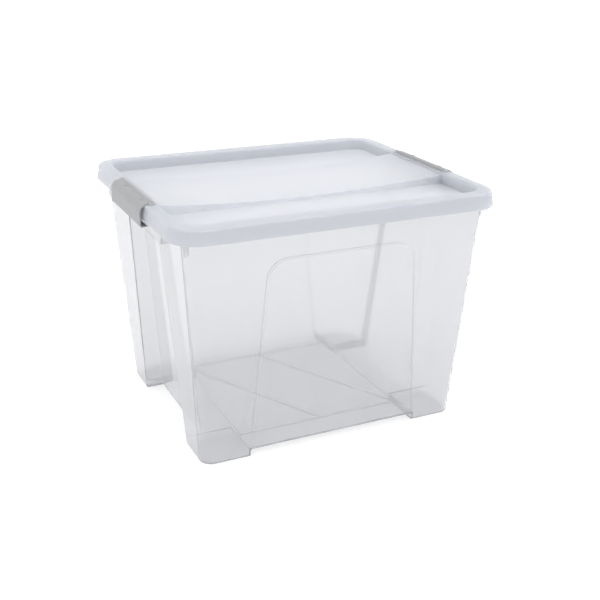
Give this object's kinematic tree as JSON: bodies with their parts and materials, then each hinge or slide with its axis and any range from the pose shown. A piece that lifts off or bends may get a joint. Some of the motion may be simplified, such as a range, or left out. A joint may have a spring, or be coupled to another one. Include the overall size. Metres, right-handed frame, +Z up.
{
  "type": "stackable storage bin",
  "caption": "Rectangular clear plastic storage bin with a lift-off lid, held by a swinging grey clip at each short end; tapered walls, corner feet and a lid shaped for stacking.",
  "frame": {"origin": "on the plane the feet stand on, under the middle of the bin", "axes": "+Z up; X along the long side, with the clips at -X and +X; the front wall faces -Y"},
  "size_m": [0.4584, 0.384, 0.3306],
  "materials": {
    "clear_bin": "translucent natural polypropylene, satin",
    "clear_lid": "translucent natural polypropylene, satin, faintly blue",
    "grey_clip": "light grey moulded plastic, fine satin"
  },
  "bodies": {
    "bin": {"bin_body": "clear_bin"},
    "lid": {"lid": "clear_lid"},
    "clip_left": {"clip_left": "grey_clip"},
    "clip_right": {"clip_right": "grey_clip"}
  },
  "joints": [
    {"name": "lid_lift", "type": "slide", "parent": "bin", "child": "lid", "axis": [0, 0, 1], "range_m": [0, 0.2]},
    {"name": "clip_left_swing", "type": "hinge", "parent": "lid", "child": "clip_left", "pos_m": [-0.213, 0, 0.3274], "axis": [0, 1, 0], "range_deg": [0, 100]},
    {"name": "clip_right_swing", "type": "hinge", "parent": "lid", "child": "clip_right", "pos_m": [0.213, 0, 0.3274], "axis": [0, -1, 0], "range_deg": [0, 100]}
  ]
}
